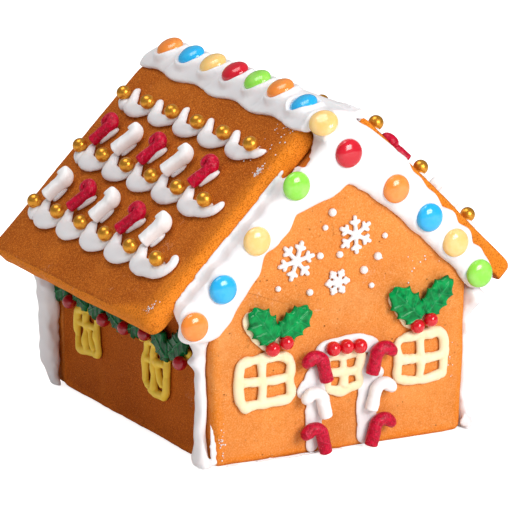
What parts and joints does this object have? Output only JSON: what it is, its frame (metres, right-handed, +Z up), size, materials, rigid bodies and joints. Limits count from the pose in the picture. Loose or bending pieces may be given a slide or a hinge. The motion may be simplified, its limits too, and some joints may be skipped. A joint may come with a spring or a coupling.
{
  "type": "gingerbread house",
  "caption": "Gingerbread house of six baked plates joined with white icing, set with sugar lentils, piped scallops, gold pearls, sugar canes, holly and lattice windows.",
  "frame": {"origin": "on the surface it stands on, under the middle of the whole house", "axes": "+Z up; the front gable with the door faces -Y; +X to the right seen from the front"},
  "size_m": [0.189, 0.1766, 0.1623],
  "materials": {
    "gingerbread_wall": "baked biscuit, matt, fine crumb",
    "gingerbread_roof": "baked biscuit, browned top",
    "white_icing": "set royal icing, soft sheen",
    "cream_icing": "set piped icing",
    "red_sugar": "grainy pressed sugar",
    "white_sugar": "grainy pressed sugar",
    "holly_green": "moulded sugar leaves",
    "lentil_orange": "polished sugar shell",
    "lentil_blue": "polished sugar shell",
    "lentil_yellow": "polished sugar shell",
    "lentil_red": "polished sugar shell",
    "lentil_green": "polished sugar shell"
  },
  "bodies": {
    "root": {"front_wall": "gingerbread_wall", "back_wall": "gingerbread_wall", "left_wall": "gingerbread_wall", "right_wall": "gingerbread_wall", "left_roof": "gingerbread_roof", "right_roof": "gingerbread_roof", "ridge_icing": "white_icing", "gable_icing_front": "white_icing", "gable_icing_back": "white_icing", "corner_icing_front_left": "white_icing", "corner_icing_front_right": "white_icing", "corner_icing_back_left": "white_icing", "corner_icing_back_right": "white_icing", "scallops_left_upper": "white_icing", "scallops_left_middle": "white_icing", "scallops_left_lower": "white_icing", "scallops_right_upper": "white_icing", "scallops_right_middle": "white_icing", "scallops_right_lower": "white_icing", "cane_left_upper_1": "red_sugar", "cane_left_lower_1": "white_sugar", "cane_left_upper_2": "white_sugar", "cane_left_lower_2": "red_sugar", "cane_left_upper_3": "red_sugar", "cane_left_lower_3": "white_sugar", "cane_left_upper_4": "white_sugar", "cane_left_lower_4": "red_sugar", "cane_left_upper_5": "red_sugar", "cane_left_lower_5": "white_sugar", "cane_right_upper_1": "red_sugar", "lentil_ridge_1": "lentil_orange", "lentil_ridge_2": "lentil_blue", "lentil_ridge_3": "lentil_yellow", "lentil_ridge_4": "lentil_red", "lentil_ridge_5": "lentil_green", "lentil_ridge_6": "lentil_orange", "lentil_ridge_7": "lentil_blue", "lentil_ridge_8": "lentil_yellow", "lentil_gable_apex": "lentil_red", "lentil_gable_left_1": "lentil_green", "lentil_gable_left_2": "lentil_yellow", "lentil_gable_left_3": "lentil_blue", "lentil_gable_left_4": "lentil_orange", "lentil_gable_right_1": "lentil_orange", "lentil_gable_right_2": "lentil_blue", "lentil_gable_right_3": "lentil_yellow", "lentil_gable_right_4": "lentil_green", "window_front_left": "cream_icing", "window_front_right": "cream_icing", "window_left_near": "cream_icing", "window_left_rear": "cream_icing", "garland_left": "holly_green", "doorway": "white_icing", "cane_door_left_1": "red_sugar", "cane_door_left_2": "white_sugar", "cane_door_left_3": "red_sugar", "cane_door_right_1": "red_sugar", "cane_door_right_2": "white_sugar", "cane_door_right_3": "red_sugar"}
  },
  "joints": []
}
